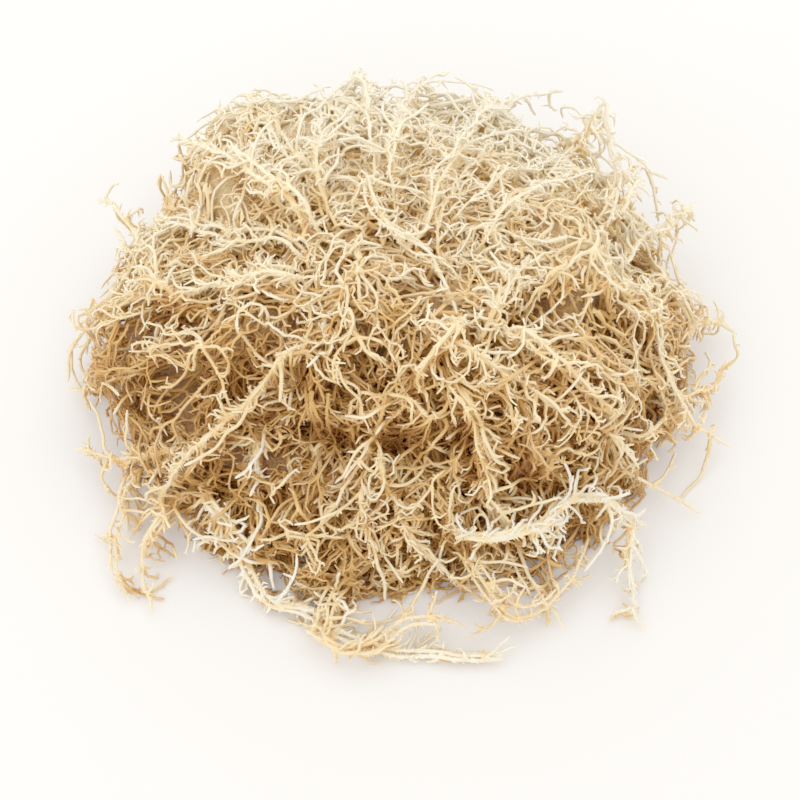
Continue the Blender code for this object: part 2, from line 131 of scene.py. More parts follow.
# Strands fork at places this far apart, often two or three together, and the forks get shorter to the tip
KNOT_SPACING = 9.0
SHORTER_TO_TIP = 0.5
# Habits: curl, wave, sway with the neighbours, and pull downhill, each for every TURN_LENGTH
MAT_HABIT = (0.08, 0.24, 0.14, 0.20)
FORK_HABIT = (0.14, 0.24, 0.12, 0.20)
TWIG_HABIT = (0.36, 0.24, 0.06, 0.0)
# How far a strand zigzags from point to point
ZIGZAG = 0.30

# The thickness of a strand: how much thinner it gets, the share that is drawn out to a point, how fine
# and how blunt the point is, and the knobs
BODY_TAPER = 0.15
POINT_SHARE = 0.05
FINEST_SHARE = 0.40
POINT_BLUNTNESS = 0.7
KNOB_SHARE = 0.22
KNOB_SIZE = 1.6
# How much wider a strand is where it leaves its parent, and over what length
FOOT_SWELL = 0.6
FOOT_LENGTH = 2.5
# Spines: how far they lean to the tip, the shortest as a share of the longest, where on a strand they
# end, and how high above the heap's foot they start
SPINE_LEAN = 0.45
SHORTEST_SPINE = 0.5
LAST_SPINE = 0.96
LOWEST_SPINE = 4.0

# The mat: its sectors, and its layers as level, number of plants, arms of a plant, strands in an arm,
# lengths, scatter of directions, thickness, and how pale it is
MAT_SECTORS = ("right", "back_right", "back", "back_left", "left", "front_left", "front", "front_right")
DEEP_LAYER = (0.91, 620, 1, 1, (50.0, 110.0), 1.6, (0.7, 1.0), 0.0)
# A fine web close under the surface of the sunny side, and how sunned its plants are at least
WEB_LAYER = (0.98, 1150, 1, 1, (30.0, 70.0), 2.5, (0.75, 1.0), 0.3)
WEB_SUN = 0.3
WEB_TOP_SHARE = 1.0
STAR_LAYER = (1.02, 44, 6, 1, (25.0, 85.0), 0.3, (0.60, 0.80), 0.6)
MAT_LAYERS = (
    (0.95, 60, 1, 4, (60.0, 120.0), 1.0, (0.55, 0.80), 0.0),
    (0.985, 70, 1, 4, (60.0, 130.0), 0.8, (0.55, 0.80), 0.1),
)
# Long strands that hang side by side down the front, and the share of the heap's height that they start
# above
HANGING_LAYER = (1.01, 150, 1, 1, (60.0, 120.0), 0.3, (0.60, 0.85), 0.4)
HANGING_SIDES = ("front", "front_right")
HANGING_ABOVE = 0.35
HANGING_SEED = 12
# How high on the heap the highest plants start, and how much more often they do so near the top
HIGHEST_START = 0.995
MAT_TOP_SHARE = 0.65
MAT_SEED = 5
GOLDEN_ANGLE = math.radians(137.5)
# How much the places of the plants and their course downhill vary
START_SCATTER = 0.15
DOWNHILL_SCATTER = 0.05
# Strands of a rope: how far apart they lie, how fast they sway about it, how long they are beside the
# first of them, and how thick
ROPE_SPREAD = 2.6
ROPE_SWAY_SIZE = 20.0
ROPE_LENGTHS = (0.55, 1.0)
ROPE_THICKNESS = (0.7, 1.05)
# The radius and the paleness of the mat's packed strands
PACKED_RADIUS = 0.8
PACKED_PALE = 0.2
# How far apart the points of each kind of strand are
DEEP_STEP = 4.0
AXIS_STEP = 3.0
FORK_STEP = 3.2
TWIG_STEP = 2.8
FROND_STEP = 1.8
FROND_FORK_STEP = 2.4
FROND_TWIG_STEP = 2.2
# Side strands as (spacing, shares of the parent between which they leave it, lean, lengths, thickness as
# a share of the parent's), and how far they rise out of the heap
MAT_FORKS = (18.0, (0.08, 0.95), (0.35, 0.9), (14.0, 46.0), 0.85)
STAR_FORKS = (18.0, (0.2, 0.95), (0.4, 1.1), (14.0, 46.0), 0.80)
MAT_TWIGS = (20.0, (0.1, 0.98), (0.7, 1.3), (3.0, 8.0), 0.8)
FROND_FORKS = (8.0, (0.1, 0.98), (0.5, 1.2), (8.0, 34.0), 0.75)
FROND_TWIGS = (13.0, (0.1, 0.98), (0.7, 1.4), (3.0, 9.0), 0.75)
MAT_RISE = 0.5
FROND_FORK_RISE = 0.6
FROND_TWIG_RISE = 0.7
# Spines as (spacing, length, width, share of the places that have one)
AXIS_SPINES = (2.4, 2.7, 0.45, 0.7)
STAR_SPINES = (1.7, 2.7, 0.48, 0.8)
FORK_SPINES = (2.6, 2.3, 0.40, 0.7)
FROND_SPINES = (1.2, 3.4, 0.60, 0.85)
NO_SPINES = (10.0, 1.0, 0.3, 0.0)
FROND_SEED = 300
# How many strands run along a frond's axis and how far apart, which is more on top, and the stoutest
# fronds
FROND_ROPE = 2
STOUT_ROPE = 4
FROND_ROPE_SPREAD = 1.6
LOOSER_ON_TOP = 2.5
STOUT_FRONDS = ("frond_front_trail", "frond_right_arm", "frond_front_left_drop")
AXIS_RADIUS = 0.85
BRANCH_RADIUS = 0.75
STOUT_RADIUS = 1.0
STOUT_PALE = 1.1
FROND_PALE = 0.65
STOUT_SPREAD = 0.9

# The core: its level, how much higher it lies on top of the heap, and how soon towards the sunny side and
# the top it does so
CORE_LEVEL = 0.865
CORE_HIGHER = 0.108
CORE_SUN_GAIN = 1.6
CORE_TOP_GAIN = 1.3
# How pale it is painted low down, as a share of its paleness on top: painted shade that darkens it lower
# down
CORE_SHADE = 0.3
# Its lumps as (depth, how many there are around), how much smoother it is on top, and its points around
# and up
CORE_LUMPS = ((0.03, 9.0), (0.02, 34.0))
CORE_SMOOTHER = 0.7
CORE_AROUND = 220
CORE_UP = 84

# The lit side of the heap, at the back and above, towards which the strands are painted paler (painted
# light, which also stands for bleaching), how far from it that ends, and how much closer to the surface the
# layers of the mat lie there
LIT_SIDE = np.array((0.10, 0.85, 0.48))
LIT_SIDE_EDGE = 0.2
TIGHTER = 0.93
# The grid that measures how thickly strands lie over a place, for the painted shade in the strands' colour:
# its cells, how far out from the place it is read, and how strongly strands keep out the light
COVER_CELL = 2.0
COVER_STEPS = (3.0, 5.0, 7.0, 9.0, 12.0, 15.0)
COVER_STRENGTH = 0.6
# How pale the least lit side is still painted, and how much deeper the painted light reaches on the lit
# side: painted light and shade, which also stand for the seaweed's bleaching
SHADY_SIDE = 0.21
LIT_SIDE_DEPTH = 0.6
# Colours, as scene-linear values: the tips of the strands, and seaweed from dark amber in painted shade
# deep in the heap out to pale cream in painted light on its lit side, which also stands for the seaweed's
# bleaching
TIP_COLOUR = (0.97, 0.90, 0.72, 1.0)
BLEACH_AND_SHADE_COLOURS = (
    (0.0, (0.22, 0.06, 0.01, 1.0)),
    (0.15, (0.50, 0.21, 0.04, 1.0)),
    (0.35, (0.78, 0.43, 0.12, 1.0)),
    (0.60, (0.92, 0.66, 0.29, 1.0)),
    (0.80, (0.97, 0.82, 0.51, 1.0)),
    (0.97, (0.97, 0.90, 0.72, 1.0)),
)
# Painted shade in the hollows between the fine strands on the core: dark brown low down and in the shade,
# lighter amber on the lit side
PAINTED_GAP_SHADE_COLOUR = (0.18, 0.06, 0.01, 1.0)
PAINTED_GAP_SHADE_LIT_COLOUR = (0.88, 0.55, 0.22, 1.0)
# The web of fine strands on the core: its meshes as (cells to a metre, width of the lines), and how they
# bend
WEB_LAYERS = ((210.0, 0.16), (330.0, 0.12))
WEB_BEND = 0.006
WEB_BEND_SCALE = 120.0
WEB_RELIEF = 0.0015
# Freckles and larger patches: colour, how many to a metre, and between which values of the noise they
# appear
MOTTLE_COLOUR = (0.96, 0.90, 0.78, 1.0)
MOTTLE_SCALE = 420.0
MOTTLE_RANGE = (0.35, 0.7)
STRAW_FRECKLES = 0.7
CREAM_FRECKLES = 0.5
PATCH_COLOUR = (0.96, 0.90, 0.74, 1.0)
PATCH_SCALE = 45.0
PATCH_RANGE = (0.5, 0.75)
PATCH_STRENGTH = 0.6
# Where along a strand its tip turns pale, how much, and between which values of the bleaching and painted
# light it may
PALE_SHARES = (0.3, 1.0)
PALEST_TIP = 0.5
PALE_FROM = (0.1, 0.8)
TONE_VALUES = (0.92, 1.0)
# Dry fibre: how rough and how shiny it is, its fine wrinkles, and how deep light goes into it
ROUGH_RANGE = (0.3, 0.7)
ROUGHNESS = (0.75, 0.9)
CORE_ROUGHNESS = 0.85
SHINE = 0.12
WRINKLE_SCALE = 1800.0
WRINKLE_STRENGTH = 0.35
WRINKLE_DEPTH = 0.0002
LIGHT_DEPTH = 0.0005

# The camera: where it looks, from how far, how steeply down, and its lens in millimetres
CAMERA_TARGET = np.array((0.0, -17.0, 32.0))
CAMERA_DISTANCE = 1000.0
CAMERA_ELEVATION = math.radians(61.8)
CAMERA_LENS = 108.03

# The studio: its floor, its lights as (place, size, strength, colour), and the light from all round
FLOOR_SIZE = 6.0
FLOOR_COLOUR = (0.93, 0.925, 0.92, 1.0)
FLOOR_ROUGHNESS = 0.8
KEY_LIGHT = ((0.05, 0.7, 1.3), 2.2, 9.5, (1.0, 0.99, 0.97))
FILL_LIGHT = ((-0.8, -0.7, 0.9), 1.2, 2.5, (1.0, 0.97, 0.92))
SKY_COLOUR = (1.0, 0.97, 0.92, 1.0)
SKY_STRENGTH = 0.82
PICTURE_GAMMA = 1.7


def unit(vectors):
    lengths = np.linalg.norm(vectors, axis=-1, keepdims=True)
    return vectors / np.maximum(lengths, 1e-9)


def smooth_noise(points):
    """One smooth value from about -1 to 1 for each point."""
    return np.array([noise.noise(point) for point in points.tolist()])


def smooth_vectors(points):
    """One smooth vector for each point, so that neighbours sway alike."""
    return np.array([noise.noise_vector(point) for point in points.tolist()])


def outline(points):
    """The radius of the heap's outline, and how squarely it is shouldered, on each point's side."""
    angles = np.arctan2(points[:, 1], points[:, 0])
    back = np.sin(angles)
    radii = OUTLINE_RADIUS + OUTLINE_DEEPER_BACK * back + OUTLINE_WIDER_SIDES * np.cos(2 * angles)
    return radii, SHOULDER_POWER + SHOULDER_BACK_GAIN * back


def lumps(directions):
    """How far the heap's surface stands out or in, in each direction, as a share."""
    share = LUMP_SHARE * smooth_noise(directions * LUMP_SIZE)
    share = share + TUFT_SHARE * smooth_noise(directions * TUFT_SIZE)
    for towards, width, height in SWELLS + HOLLOWS:
        apart = np.linalg.norm(directions - unit(np.array(towards)), axis=1)
        share = share + height * np.exp(-((apart / width) ** 2))
    return 1 + share


def level(points):
    """0 at the middle of the foot, 1 on the heap's outer surface, and in proportion between and beyond."""
    radii, powers = outline(points)
    heights = np.maximum(points[:, 2], 0.0)
    across = np.hypot(points[:, 0], points[:, 1]) / radii
    dome = (across**powers + (heights / HEAP_HEIGHT) ** powers) ** (1 / powers)
    squashed = np.stack((points[:, 0] / radii, points[:, 1] / radii, heights / HEAP_HEIGHT), axis=1)
    return dome / lumps(unit(squashed))


def outward(points):
    """The direction away from the heap at each point."""
    radii, powers = outline(points)
    across = np.hypot(points[:, 0], points[:, 1])
    side = (across / radii) ** (powers - 1) / radii / np.maximum(across, 1e-6)
    rise = (np.maximum(points[:, 2], 0.0) / HEAP_HEIGHT) ** (powers - 1) / HEAP_HEIGHT
    return unit(np.stack((points[:, 0] * side, points[:, 1] * side, rise), axis=1))


def lit_side_share(points):
    """How far each place faces the lit side of the heap, from 0 to 1."""
    return np.clip((outward(points) @ unit(LIT_SIDE) - LIT_SIDE_EDGE) / (1 - LIT_SIDE_EDGE), 0, 1)


def at_level(directions, wanted):
    """The point in each direction from the middle of the foot that has the wanted level."""
    directions = unit(directions)
    return directions * (wanted / level(directions))[:, None]


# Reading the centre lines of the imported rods

MERGE_DISTANCE = 0.00001
# A stretch of rod is a twisted prism, whose two rings have six edges between them
EDGES_BETWEEN_RINGS = 6
# Rings wider than this aren't part of a strand
THICKEST_ROD = 2.4


def corners_and_faces(node):
    """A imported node's corners, each once, in millimetres from the foot's middle, and its triangles."""
    mesh = bmesh.new()
    mesh.from_mesh(node.data)
    bmesh.ops.remove_doubles(mesh, verts=mesh.verts, dist=MERGE_DISTANCE)
    mesh.verts.index_update()
    corners = np.array([tuple(vertex.co) for vertex in mesh.verts]) / METRES - FOOT_MIDDLE
    faces = [tuple(vertex.index for vertex in face.verts) for face in mesh.faces]
    mesh.free()
    return corners, faces


def neighbours_of(faces, count):
    neighbours = [set() for _ in range(count)]
    for a, b, c in faces:
        neighbours[a] |= {b, c}
        neighbours[b] |= {a, c}
        neighbours[c] |= {a, b}
    return neighbours


def rings_of(faces, neighbours):
    """The rings that a rod is built on: three corners joined to each other, with no face between them."""
    solid = {frozenset(face) for face in faces}
    rings = set()
    for a, around in enumerate(neighbours):
        for b in around:
            for c in around & neighbours[b]:
                if a < b < c and frozenset((a, b, c)) not in solid:
                    rings.add(frozenset((a, b, c)))
    return sorted(rings, key=sorted)


def around_length(ring, corners):
    a, b, c = (corners[corner] for corner in ring)
    return float(np.linalg.norm(a - b) + np.linalg.norm(b - c) + np.linalg.norm(c - a))


def next_rings(rings, neighbours, corners):
    """For each ring, the numbers of the rings that a stretch of rod joins it to.

    The six corners of a short stretch can be paired in several ways. The two tightest rings are the real
    ones.
    """
    holding, stretches = {}, {}
    for number, ring in enumerate(rings):
        for corner in ring:
            holding.setdefault(corner, set()).add(number)
    for number, ring in enumerate(rings):
        near = {corner for mine in ring for corner in neighbours[mine]} - ring
        for other in sorted({other for corner in near for other in holding.get(corner, ())}):
            edges = sum(len(neighbours[mine] & rings[other]) for mine in ring)
            if other > number and not rings[other] & ring and edges == EDGES_BETWEEN_RINGS:
                length = around_length(ring, corners) + around_length(rings[other], corners)
                stretches.setdefault(ring | rings[other], []).append((length, number, other))
    joined = [[] for _ in rings]
    for pairs in stretches.values():
        _, number, other = min(pairs)
        joined[number].append(other)
        joined[other].append(number)
    return joined


def tip_of(ring, rings_joined, rings, neighbours):
    """The corner that a rod ends in past this ring, or None."""
    a, b, c = ring
    shared = neighbours[a] & neighbours[b] & neighbours[c]
    taken = {corner for number in rings_joined for corner in rings[number]}
    ends = [corner for corner in shared - taken if len(neighbours[corner]) == 3]
    return ends[0] if ends else None


def rods_of(node):
    """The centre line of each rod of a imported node, from root to tip."""
    corners, faces = corners_and_faces(node)
    neighbours = neighbours_of(faces, len(corners))
    rings = rings_of(faces, neighbours)
    joined = next_rings(rings, neighbours, corners)
    tips = [tip_of(ring, near, rings, neighbours) for ring, near in zip(rings, joined)]
    around = [corners[list(ring)] for ring in rings]
    centres = [places.mean(0) for places in around]
    radii = [np.linalg.norm(places - middle, axis=1).mean() for places, middle in zip(around, centres)]
    rods = []
    for number, tip in enumerate(tips):
        if tip is None:
            continue
        line, before, here = [corners[tip]], None, number
        while here is not None:
            if radii[here] < THICKEST_ROD:
                line.append(centres[here])
            onward = [other for other in joined[here] if other != before]
            before, here = here, (onward[0] if onward else None)
        if len(line) > 2:
            rods.append(np.array(line[::-1]))
    return rods


# Strands, as rows of points side by side

class Strands:
    """Strands that were made together, each a row of points.

    A strand uses as many points of its row as its count says. The rest of the row repeats its last point.
    The owner of a strand is the piece that it belongs to.
    """

    def __init__(self, points, counts, thickness, owners, tones, pales):
        self.points, self.counts = points, counts
        self.thickness, self.owners, self.tones, self.pales = thickness, owners, tones, pales

    def lengths(self):
        steps = np.linalg.norm(np.diff(self.points, axis=1), axis=2)
        return steps.sum(1)


def smooth_line(line, spacing):
    """Points about the spacing apart on a smooth curve through the line's points."""
    ends = [2 * line[0] - line[1], 2 * line[-1] - line[-2]]
    knots = [ends[0], *line, ends[1]]
    points = []
    for before, start, end, after in zip(knots, knots[1:], knots[2:], knots[3:]):
        pieces = max(1, round(float(np.linalg.norm(end - start)) / spacing))
        for i in range(pieces):
            t = i / pieces
            bend = 2 * before - 5 * start + 4 * end - after
            twist = 3 * start - before - 3 * end + after
            points.append(0.5 * (2 * start + (end - before) * t + bend * t**2 + twist * t**3))
    return np.array([*points, knots[-2]])


def without_doubles(line, apart):
    """The line with each pair of points that lie close together made one."""
    kept = [line[0]]
    i = 1
    while i < len(line):
        close = i + 1 < len(line) - 1 and np.linalg.norm(line[i + 1] - line[i]) < apart
        kept.append((line[i] + line[i + 1]) / 2 if close else line[i])
        i += 2 if close else 1
    return np.array(kept)


def from_rods(lines, spacing, thickness, owners, pale, rng):
    """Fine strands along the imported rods' centre lines, with small waves of their own."""
    fine = []
    for line in lines:
        points = smooth_line(without_doubles(line, BAND_LENGTH), spacing)
        share = np.linspace(0, 1, len(points))[:, None]
        aside = smooth_vectors(points / ROD_WAVE_SIZE + rng.uniform(0, NOISE_REACH, 3))
        waved = points + ROD_WAVE * aside * np.minimum(1, share * ROD_WAVE_RISE)
        waved[:, 2] = np.maximum(waved[:, 2], LOWEST_STRAND)
        fine.append(waved)
    counts = np.array([len(points) for points in fine])
    padded = np.zeros((len(fine), counts.max(), 3))
    for row, points in zip(padded, fine):
        row[: len(points)] = points
        row[len(points):] = points[-1]
    sizes, pales = np.full(len(fine), thickness), np.full(len(fine), pale)
    return Strands(padded, counts, sizes, owners, rng.random(len(fine)), pales)


def grow(roots, headings, lengths, step, wanted, habit, box, rng):
    """Strands that grow side by side, all one step at a time: their points, and how many each has."""
    curl, wave, flow, fall = habit
    steps = np.maximum(2, np.round(lengths / step)).astype(int)
    points = np.repeat(roots[:, None, :], steps.max() + 1, axis=1)
    here, heading = roots.copy(), unit(headings)
    bend = unit(rng.normal(size=roots.shape))
    phase, pitch = rng.uniform(0, 2 * math.pi, len(roots)), rng.uniform(*WAVE_LENGTHS, len(roots))
    for i in range(steps.max()):
        live = np.flatnonzero(steps > i)
        place, course, share = here[live], heading[live], (i / steps[live])[:, None]
        bend[live] = unit(bend[live] + BEND_CHANGE * rng.normal(size=place.shape))
        over = outward(place)
        off = np.clip((wanted[live] - level(place)) * HEAP_HEIGHT / LEVEL_REACH, -1, 1)[:, None]
        along = (course * over).sum(1, keepdims=True)
        aside = unit(np.cross(course, bend[live]))
        turn = curl * (1 + TIP_CURL * share**2) * aside
        turn += KINK * (rng.random((len(live), 1)) < KINK_SHARE) * rng.normal(size=place.shape)
        swing = np.sin(phase[live] + 2 * math.pi * i * step / pitch[live])[:, None]
        turn += wave * swing * np.cross(course, aside)
        turn += flow * smooth_vectors(place / FLOW_SIZE)
        turn += over * (LEVEL_PULL * off - LEVEL_HOLD * along)
        turn += fall * (over * over[:, 2:] - UP)
        course = unit(course + turn * step / TURN_LENGTH)
        place = np.clip(place + course * step, box[0], box[1])
        here[live], heading[live] = place, course
        points[live, i + 1:] = place[:, None, :]
    points[:, 1:] += rng.normal(0, ZIGZAG, points[:, 1:].shape)
    levels = level(points.reshape(-1, 3)).reshape(points.shape[:2])
    highest = np.maximum(wanted, level(roots))[:, None] + LEVEL_ROOM
    points = points * np.minimum(1, highest / levels)[:, :, None]
    return np.clip(points, box[0], box[1]), steps + 1


def side_strands(parents, kind, step, habit, box, rng, rise=MAT_RISE):
    """Strands that fork off their parents, about one every spacing, at an acute angle."""
    spacing, (first, last), lean, lengths, thinner = kind
    forked = parents.lengths() * (last - first)
    number = np.floor(forked / spacing + rng.random(len(parents.counts))).astype(int)
    which = np.repeat(np.arange(len(number)), number)
    knots = np.maximum(2, np.round(forked / KNOT_SPACING))[which]
    share = first + (last - first) * np.floor(rng.random(len(which)) * knots) / knots
    at = share * (parents.counts[which] - 1)
    start = np.minimum(at.astype(int), parents.counts[which] - 2)
    near, far = parents.points[which, start], parents.points[which, start + 1]
    roots = near + (far - near) * (at - start)[:, None]
    tangent = unit(far - near)
    aside = rng.normal(size=roots.shape) + rise * outward(roots)
    aside = unit(aside - tangent * (aside * tangent).sum(1, keepdims=True))
    angle = rng.uniform(*lean, len(which))[:, None]
    headings = np.cos(angle) * tangent + np.sin(angle) * aside
    sizes = rng.uniform(*lengths, len(which)) * (1 - SHORTER_TO_TIP * share)
    highest = HIGHEST_LEVEL - LOWER_ON_TOP * lit_side_share(roots)
    wanted = np.minimum(level(roots), highest) + rng.normal(0, LEVEL_SPREAD, len(which))
    points, counts = grow(roots, headings, sizes, step, wanted, habit, box, rng)
    tones = np.clip(parents.tones[which] + rng.normal(0, TONE_SPREAD, len(which)), 0, 1)
    sizes = parents.thickness[which] * thinner
    return Strands(points, counts, sizes, parents.owners[which], tones, parents.pales[which])


def joined(*groups):
    """Several groups of strands as one."""
    most = max(group.points.shape[1] for group in groups)
    missing = [((0, 0), (0, most - group.points.shape[1]), (0, 0)) for group in groups]
    rows = [np.pad(group.points, more, "edge") for group, more in zip(groups, missing)]
    kept = ("counts", "thickness", "owners", "tones", "pales")
    values = (np.concatenate([getattr(group, name) for group in groups]) for name in kept)
    return Strands(np.concatenate(rows), *values)


def picked(group, chosen):
    """The chosen strands of a group."""
    return Strands(
        group.points[chosen], group.counts[chosen], group.thickness[chosen],
        group.owners[chosen], group.tones[chosen], group.pales[chosen],
    )


class Cover:
    """How thickly strands lie over each place, kept as a grid of small cells over the whole heap."""

    def __init__(self, groups, box):
        self.low = box[0] - COVER_CELL
        shape = np.ceil((box[1] - self.low) / COVER_CELL).astype(int) + 2
        cells = np.zeros(shape)
        for group in groups:
            used = np.arange(group.points.shape[1])[None, :] < group.counts[:, None]
            steps = np.linalg.norm(np.diff(group.points, axis=1), axis=2)
            areas = np.pad(steps, ((0, 0), (0, 1))) * 2 * group.thickness[:, None] / COVER_CELL**2
            place = ((group.points[used] - self.low) / COVER_CELL).astype(int)
            np.add.at(cells, tuple(place.T), areas[used])
        for axis in range(3):
            cells = (np.roll(cells, 1, axis) + 2 * cells + np.roll(cells, -1, axis)) / 4
        self.cells = cells

    def exposure(self, points):
        """The share of the light that comes past the strands outside each point."""
        course = unit(outward(points) + LIT_SIDE)
        most = np.array(self.cells.shape) - 1
        total = np.zeros(len(points))
        for away in COVER_STEPS:
            place = ((points + away * course - self.low) / COVER_CELL).astype(int)
            total += self.cells[tuple(np.clip(place, 0, most).T)]
        return np.exp(-COVER_STRENGTH * total)


# Drawing the strands as meshes, with Geometry Nodes

def add_node(tree, kind, settings=(), **values):
    """A node with its settings, its input values, and the links that come into it."""
    node = tree.nodes.new(kind)
    for name, value in dict(settings).items():
        setattr(node, name, value)
    for name, value in values.items():
        socket = next(s for s in node.inputs if s.identifier == name or s.name.replace(" ", "_") == name)
        if isinstance(value, bpy.types.NodeSocket):
            tree.links.new(value, socket)
        else:
            socket.default_value = value
    return node


def named_value(tree, name):
    node = add_node(tree, "GeometryNodeInputNamedAttribute", {"data_type": "FLOAT"}, Name=name)
    return node.outputs["Attribute"]


def math_value(tree, operation, first, second):
    settings = {"operation": operation}
    return add_node(tree, "ShaderNodeMath", settings, Value=first, Value_001=second).outputs[0]


def vector_value(tree, operation, first, **values):
    settings = {"operation": operation}
    return add_node(tree, "ShaderNodeVectorMath", settings, Vector=first, **values).outputs[0]


def random_value(tree, low, high, seed, offset):
    """A seeded random number for each point, another one for each offset."""
    values = {"Min_001": low, "Max_001": high, "Seed": math_value(tree, "ADD", seed, offset)}
    return add_node(tree, "FunctionNodeRandomValue", {"data_type": "FLOAT"}, **values).outputs[1]


def strand_tree():
    """Draws lines as closed, tapered rods, with short pointed spines all round them."""
    tree = bpy.data.node_groups.new("gracilaria_strands", "GeometryNodeTree")
    for name, kind in (
        ("Lines", "Geometry"), ("Sides", "Int"), ("Spine spacing", "Float"), ("Spine length", "Float"),
        ("Spine width", "Float"), ("Seed", "Int"), ("Finish", "Material"),
    ):
        tree.interface.new_socket(name=name, in_out="INPUT", socket_type="NodeSocket" + kind)
    tree.interface.new_socket(name="Strands", in_out="OUTPUT", socket_type="NodeSocketGeometry")
    given = tree.nodes.new("NodeGroupInput").outputs
    curve = add_node(tree, "GeometryNodeMeshToCurve", Mesh=given["Lines"]).outputs["Curve"]
    circle = add_node(tree, "GeometryNodeCurvePrimitiveCircle", Resolution=given["Sides"], Radius=1.0)
    ring, thickness = circle.outputs["Curve"], named_value(tree, "thickness")
    rods = add_node(
        tree, "GeometryNodeCurveToMesh", Curve=curve, Profile_Curve=ring, Scale=thickness, Fill_Caps=True
    ).outputs["Mesh"]

    by_length, spacing = {"mode": "LENGTH"}, given["Spine spacing"]
    spots = add_node(tree, "GeometryNodeCurveToPoints", by_length, Curve=curve, Length=spacing).outputs
    seed, tangent = given["Seed"], spots["Tangent"]
    angle = random_value(tree, 0.0, 2 * math.pi, seed, 1)
    turn = add_node(tree, "ShaderNodeVectorRotate", Vector=spots["Normal"], Axis=tangent, Angle=angle)
    lean = vector_value(tree, "SCALE", tangent, Scale=SPINE_LEAN)
    course = vector_value(tree, "ADD", turn.outputs[0], Vector_001=lean)
    facing = add_node(tree, "FunctionNodeAlignRotationToVector", {"axis": "Z"}, Vector=course)
    drawn_lot = random_value(tree, 0.0, 1.0, seed, 2)
    below = {"data_type": "FLOAT", "operation": "LESS_THAN"}
    chosen = add_node(tree, "FunctionNodeCompare", below, A=drawn_lot, B=named_value(tree, "spiny"))
    share = random_value(tree, SHORTEST_SPINE, 1.0, seed, 3)
    length = math_value(tree, "MULTIPLY", share, given["Spine length"])
    size = add_node(tree, "ShaderNodeCombineXYZ", X=1.0, Y=1.0, Z=length).outputs[0]
    width = given["Spine width"]
    cone = add_node(
        tree, "GeometryNodeMeshCone", Vertices=3, Radius_Top=0.0, Radius_Bottom=width, Depth=1.0
    ).outputs["Mesh"]
    placed = add_node(
        tree, "GeometryNodeInstanceOnPoints", Points=spots["Points"], Selection=chosen.outputs["Result"],
        Instance=cone, Rotation=facing.outputs["Rotation"], Scale=size,
    ).outputs["Instances"]

    everything = add_node(tree, "GeometryNodeJoinGeometry")
    tree.links.new(rods, everything.inputs[0])
    tree.links.new(placed, everything.inputs[0])
    whole = add_node(tree, "GeometryNodeRealizeInstances", Geometry=everything.outputs[0]).outputs[0]
    smooth = add_node(tree, "GeometryNodeSetShadeSmooth", Geometry=whole).outputs[0]
    finished = add_node(tree, "GeometryNodeSetMaterial", Geometry=smooth, Material=given["Finish"])
    tree.links.new(finished.outputs[0], tree.nodes.new("NodeGroupOutput").inputs["Strands"])
    return tree


def thickness_along(share, along, thickness, points):
    """A strand's radius: spread out at its foot, slightly knobbly, and finer to the tip."""
    point = np.minimum(1, (1 - share) / POINT_SHARE + FINEST_SHARE) ** POINT_BLUNTNESS
    taper = (1 - BODY_TAPER * share) * point
    knobs = 1 + KNOB_SHARE * smooth_noise(points / KNOB_SIZE)
    foot = 1 + FOOT_SWELL * np.exp(-along / FOOT_LENGTH)
    return thickness * taper * knobs * foot


def bleached(points, cover, pale):
    """How pale each place is painted, from 0 to 1: paler on the outer strands and the lit side, darker
    where strands lie over it. This is painted light and shade, and it also stands for the seaweed's own
    bleaching.
    """
    # Painted light and shade: paler where the place faces the lit side and where few strands lie over it
    sun = lit_side_share(points)
    open_share = cover.exposure(points) ** (1 - LIT_SIDE_DEPTH * sun)
    lit = open_share * (SHADY_SIDE + (1 - SHADY_SIDE) * sun)
    return np.minimum(1, lit + (1 - lit) * pale * open_share)


def give_values(mesh, values):
    """Numbers for each point of a mesh, by name, which the strands' tree and the finishes read."""
    for name, numbers in values.items():
        mesh.attributes.new(name, "FLOAT", "POINT").data.foreach_set("value", numbers.astype(np.float32))


def in_scene(name, data):
    """A new object in the scene, from its mesh, light or camera."""
    made = bpy.data.objects.new(name, data)
    bpy.context.scene.collection.objects.link(made)
    return made


def line_mesh(name, group, spiny, cover):
    """The strands as a mesh of lines, with the values of their points."""
    used = np.arange(group.points.shape[1])[None, :] < group.counts[:, None]
    points = group.points[used]
    share = (np.arange(used.shape[1])[None, :] / (group.counts[:, None] - 1))[used]
    strand = np.repeat(np.arange(len(group.counts)), group.counts)
    along = np.linalg.norm(points - group.points[strand, 0], axis=1)
    mesh = bpy.data.meshes.new(name)
    mesh.vertices.add(len(points))
    mesh.vertices.foreach_set("co", ((points + FOOT_MIDDLE) * METRES).astype(np.float32).ravel())
    first = np.flatnonzero(strand[:-1] == strand[1:])
    mesh.edges.add(len(first))
    mesh.edges.foreach_set("vertices", np.stack((first, first + 1), axis=1).astype(np.int32).ravel())
    give_values(mesh, {
        "thickness": thickness_along(share, along, group.thickness[strand], points) * METRES,
        "spiny": np.where((share < LAST_SPINE) & (points[:, 2] > LOWEST_SPINE), spiny, 0.0),
        "tone": group.tones[strand],
        "tip": share,
        # Painted light and shade, together with bleaching, carried to the finishes
        "bleached": bleached(points, cover, group.pales[strand]),
    })
    return mesh


def drawn(name, group, sides, spines, finish, tree, cover, seed):
    """The mesh that the tree draws for a group of strands."""
    spacing, length, width, spiny = spines
    lines = in_scene(name + "_lines", line_mesh(name + "_lines", group, spiny, cover))
    modifier = lines.modifiers.new("strands", "NODES")
    modifier.node_group = tree
    values = {
        "Sides": sides, "Spine spacing": spacing * METRES, "Spine length": length * METRES,
        "Spine width": width * METRES, "Seed": seed, "Finish": finish,
    }
    for item in tree.interface.items_tree:
        if item.name in values:
            modifier[item.identifier] = values[item.name]
    bpy.context.view_layer.update()
    mesh = bpy.data.meshes.new_from_object(lines.evaluated_get(bpy.context.evaluated_depsgraph_get()))
    bpy.data.objects.remove(lines)
    return mesh


